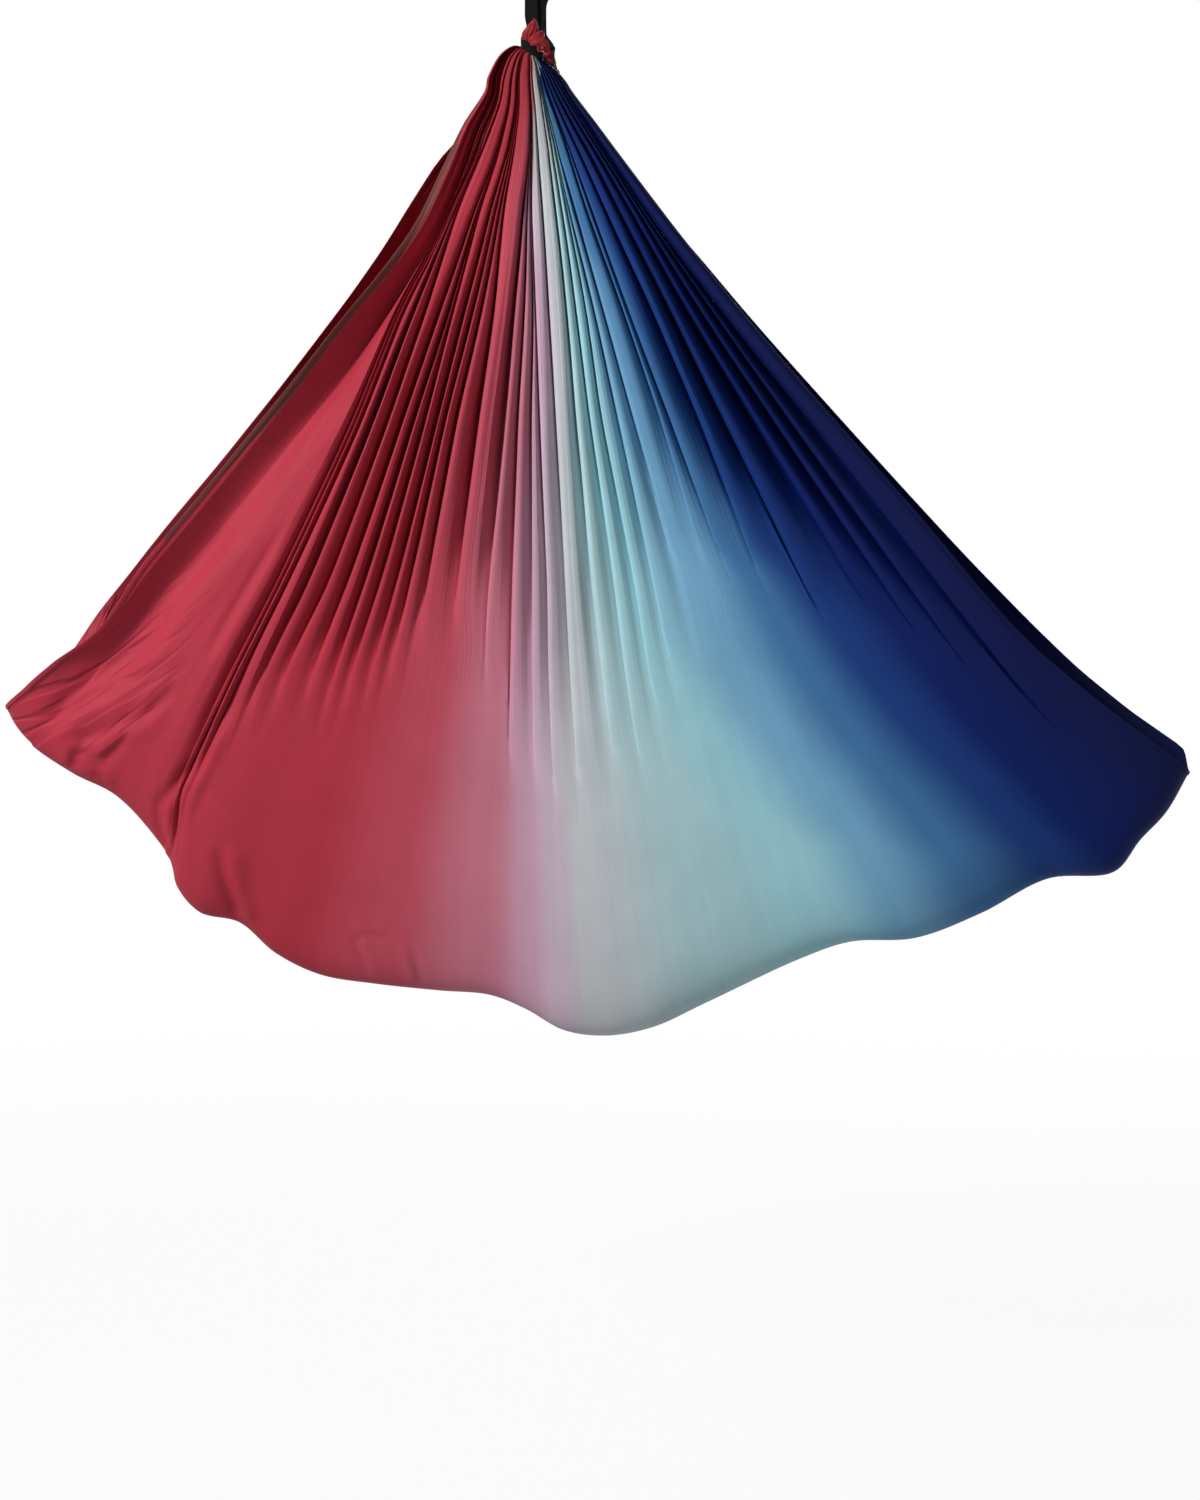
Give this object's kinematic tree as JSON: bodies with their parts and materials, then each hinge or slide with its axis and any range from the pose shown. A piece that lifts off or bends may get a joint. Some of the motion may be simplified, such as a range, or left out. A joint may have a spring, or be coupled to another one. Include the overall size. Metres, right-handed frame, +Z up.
{
  "type": "aerial yoga hammock",
  "caption": "Wide knit aerial yoga hammock, pleated into a knot at each end and hung by choked webbing slings, carabiners and ceiling hoops.",
  "frame": {"origin": "on the ceiling plane, halfway between the two ceiling fixings", "axes": "+Z up, +X across the sheet's width towards its navy side, +Y from the front fixing to the rear one"},
  "size_m": [2.385, 0.388, 2.2472],
  "materials": {
    "steel": "satin",
    "spring_steel": "satin",
    "black_webbing": "matte",
    "crimson_cloth": "satin",
    "ombre_cloth": "satin"
  },
  "bodies": {
    "ceiling_fixings": {"front_ceiling_plate": "steel", "front_anchor_hoop": "steel", "rear_ceiling_plate": "steel", "rear_anchor_hoop": "steel"},
    "front_carabiner": {"front_carabiner_body": "steel", "front_gate_rivet": "steel"},
    "front_gate": {"front_carabiner_gate": "steel", "front_gate_plunger": "spring_steel", "front_gate_spring": "spring_steel"},
    "front_sling": {"front_sling": "black_webbing"},
    "rear_carabiner": {"rear_carabiner_body": "steel", "rear_gate_rivet": "steel"},
    "rear_gate": {"rear_carabiner_gate": "steel", "rear_gate_plunger": "spring_steel", "rear_gate_spring": "spring_steel"},
    "rear_sling": {"rear_sling": "black_webbing"},
    "hammock": {"front_choke_band": "black_webbing", "rear_choke_band": "black_webbing", "front_knot": "crimson_cloth", "rear_knot": "crimson_cloth", "front_gather": "ombre_cloth", "rear_gather": "ombre_cloth", "hammock_sheet": "ombre_cloth"}
  },
  "joints": [
    {"name": "front_side_swing", "type": "hinge", "parent": "ceiling_fixings", "child": "front_carabiner", "pos_m": [0, -0.14, -0.036], "axis": [0, 1, 0], "range_deg": [-45, 45]},
    {"name": "front_fore_aft_swing", "type": "hinge", "parent": "front_carabiner", "child": "front_sling", "pos_m": [0, -0.14, -0.1277], "axis": [1, 0, 0], "range_deg": [-30, 30]},
    {"name": "front_gate_hinge", "type": "hinge", "parent": "front_carabiner", "child": "front_gate", "pos_m": [0.027, -0.14, -0.1077], "axis": [0, -1, 0], "range_deg": [0, 28], "stiffness_Nm_per_rad": 0.3, "springref_deg": -28.65},
    {"name": "rear_side_swing", "type": "hinge", "parent": "ceiling_fixings", "child": "rear_carabiner", "pos_m": [0, 0.14, -0.036], "axis": [0, 1, 0], "range_deg": [-45, 45]},
    {"name": "rear_fore_aft_swing", "type": "hinge", "parent": "rear_carabiner", "child": "rear_sling", "pos_m": [0, 0.14, -0.1277], "axis": [1, 0, 0], "range_deg": [-30, 30]},
    {"name": "rear_gate_hinge", "type": "hinge", "parent": "rear_carabiner", "child": "rear_gate", "pos_m": [0.027, 0.14, -0.1077], "axis": [0, -1, 0], "range_deg": [0, 28], "stiffness_Nm_per_rad": 0.3, "springref_deg": -28.65},
    {"name": "hammock_level", "type": "hinge", "parent": "front_sling", "child": "hammock", "pos_m": [0, -0.14, -0.2647], "axis": [1, 0, 0], "range_deg": [-30, 30]}
  ],
  "couplings": [
    {"joint": "rear_side_swing", "follows": "front_side_swing", "ratio": 1},
    {"joint": "rear_fore_aft_swing", "follows": "front_fore_aft_swing", "ratio": 1},
    {"joint": "hammock_level", "follows": "front_fore_aft_swing", "ratio": -1}
  ]
}
